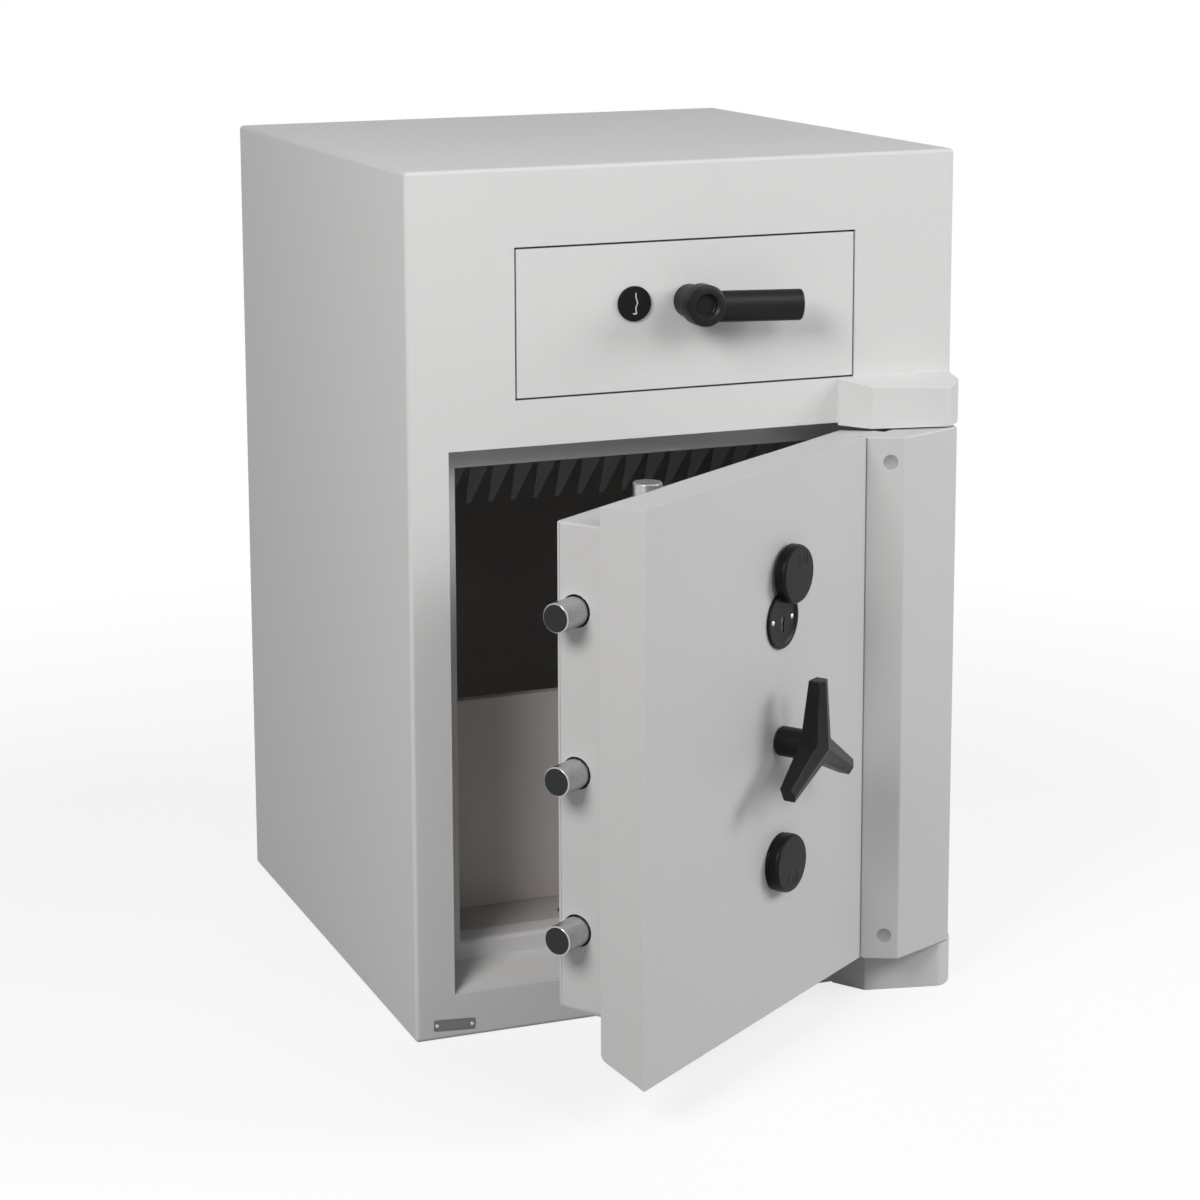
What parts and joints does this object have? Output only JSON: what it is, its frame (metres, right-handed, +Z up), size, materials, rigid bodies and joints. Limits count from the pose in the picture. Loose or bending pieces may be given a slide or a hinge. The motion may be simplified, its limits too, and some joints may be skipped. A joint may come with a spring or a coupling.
{
  "type": "drop safe with deposit drawer",
  "caption": "Counter-height deposit safe with a pull-out drawer that tips its load into a vault, closed below by a hinged door with a spoked handle and sliding bolts.",
  "frame": {"origin": "centre of the cabinet's base, on the floor", "axes": "+Z up, -Y out of the front face with the drawer and the door, +X to the right as seen from the front, the side of the hinges"},
  "size_m": [0.58, 0.8872, 0.86],
  "materials": {
    "body_paint": "light grey textured powder coat",
    "door_paint": "light grey textured powder coat",
    "interior_paint": "light grey matt coat, a little darker than outside",
    "black_casting": "black satin coat on zinc castings",
    "black_plastic": "black satin moulding",
    "bolt_chrome": "hard chromed",
    "bare_steel": "turned steel",
    "plated_steel": "zinc-plated sheet steel",
    "bush_brass": "turned",
    "plate_aluminium": "matt anodised",
    "infill": "cast barrier compound"
  },
  "bodies": {
    "cabinet": {"outer_casing": "body_paint", "barrier_infill": "infill", "vault_liner": "interior_paint", "door_frame": "body_paint", "drawer_housing": "plated_steel", "drawer_runner_left": "plated_steel", "drawer_runner_right": "plated_steel", "drop_chute": "plated_steel", "anti_fishing_comb": "interior_paint", "retaining_panel": "body_paint", "hinge_block_upper": "body_paint", "hinge_block_lower": "body_paint", "hinge_pin_upper": "bare_steel", "hinge_pin_lower": "bare_steel", "serial_plate": "plate_aluminium", "serial_plate_rivet_left": "bare_steel", "serial_plate_rivet_right": "bare_steel"},
    "door": {"door_slab": "door_paint", "door_infill": "infill", "bolt_box": "door_paint", "bolt_box_cover": "door_paint", "bolt_box_screw_1": "plated_steel", "bolt_box_screw_2": "plated_steel", "bolt_box_screw_3": "plated_steel", "bolt_box_screw_4": "plated_steel", "hinge_pillar": "body_paint", "pillar_plug_upper": "door_paint", "pillar_plug_lower": "door_paint", "lock_case_upper": "plated_steel", "lock_case_lower": "plated_steel", "escutcheon_upper": "black_casting", "escutcheon_lower": "black_casting", "escutcheon_screw_upper_left": "bare_steel", "escutcheon_screw_upper_right": "bare_steel", "escutcheon_screw_lower_left": "bare_steel", "escutcheon_screw_lower_right": "bare_steel", "key_cover_pin_upper": "bare_steel", "key_cover_pin_lower": "bare_steel", "handle_bush": "bush_brass"},
    "handle": {"tri_spoke_handle": "black_casting", "handle_spindle": "bare_steel", "drive_disc": "plated_steel"},
    "side_bolts": {"side_bolt_carriage": "plated_steel", "side_bolt_upper": "bolt_chrome", "side_bolt_middle": "bolt_chrome", "side_bolt_lower": "bolt_chrome"},
    "top_bolt_set": {"top_bolt": "bolt_chrome", "top_bolt_link": "plated_steel"},
    "bottom_bolt_set": {"bottom_bolt": "bolt_chrome", "bottom_bolt_link": "plated_steel"},
    "upper_cover": {"key_cover_upper": "black_casting"},
    "lower_cover": {"key_cover_lower": "black_casting"},
    "drawer": {"drawer_front": "body_paint", "drawer_carriage": "plated_steel", "drawer_lock_body": "plated_steel"},
    "tray": {"tip_tray": "plated_steel"},
    "lever": {"drawer_lever": "black_casting", "drawer_latch_cam": "plated_steel"},
    "lock_plug": {"drawer_lock_plug": "black_casting"}
  },
  "joints": [
    {"name": "door_swing", "type": "hinge", "parent": "cabinet", "child": "door", "pos_m": [0.263, -0.327, 0], "axis": [0, 0, 1], "range_deg": [-35, 85]},
    {"name": "handle_turn", "type": "hinge", "parent": "door", "child": "handle", "pos_m": [0.02757, -0.45278, 0.3185], "axis": [-0.5736, 0.8192, 0], "range_deg": [0, 90]},
    {"name": "side_bolts_slide", "type": "slide", "parent": "door", "child": "side_bolts", "axis": [0.8192, 0.5736, 0], "range_m": [0, 0.033]},
    {"name": "top_bolt_slide", "type": "slide", "parent": "door", "child": "top_bolt_set", "axis": [0, 0, -1], "range_m": [0, 0.015]},
    {"name": "bottom_bolt_slide", "type": "slide", "parent": "door", "child": "bottom_bolt_set", "axis": [0, 0, 1], "range_m": [0, 0.015]},
    {"name": "upper_cover_swing", "type": "hinge", "parent": "door", "child": "upper_cover", "pos_m": [0.02757, -0.45278, 0.4598], "axis": [-0.5736, 0.8192, 0], "range_deg": [0, 157]},
    {"name": "lower_cover_swing", "type": "hinge", "parent": "door", "child": "lower_cover", "pos_m": [0.02757, -0.45278, 0.2213], "axis": [-0.5736, 0.8192, 0], "range_deg": [-157, 0]},
    {"name": "drawer_slide", "type": "slide", "parent": "cabinet", "child": "drawer", "axis": [0, -1, 0], "range_m": [0, 0.3]},
    {"name": "tray_tip", "type": "hinge", "parent": "drawer", "child": "tray", "pos_m": [0, -0.229, 0.686], "axis": [1, 0, 0], "range_deg": [0, 22]},
    {"name": "lever_turn", "type": "hinge", "parent": "drawer", "child": "lever", "pos_m": [0, -0.295, 0.723], "axis": [0, 1, 0], "range_deg": [0, 90]},
    {"name": "lock_turn", "type": "hinge", "parent": "drawer", "child": "lock_plug", "pos_m": [-0.0575, -0.295, 0.723], "axis": [0, 1, 0], "range_deg": [0, 90]}
  ],
  "couplings": [
    {"joint": "side_bolts_slide", "follows": "handle_turn", "m_per_rad": 0.021},
    {"joint": "top_bolt_slide", "follows": "handle_turn", "m_per_rad": 0.00954},
    {"joint": "bottom_bolt_slide", "follows": "handle_turn", "m_per_rad": 0.00954},
    {"joint": "tray_tip", "follows": "drawer_slide", "rad_per_m": 1.2798}
  ]
}
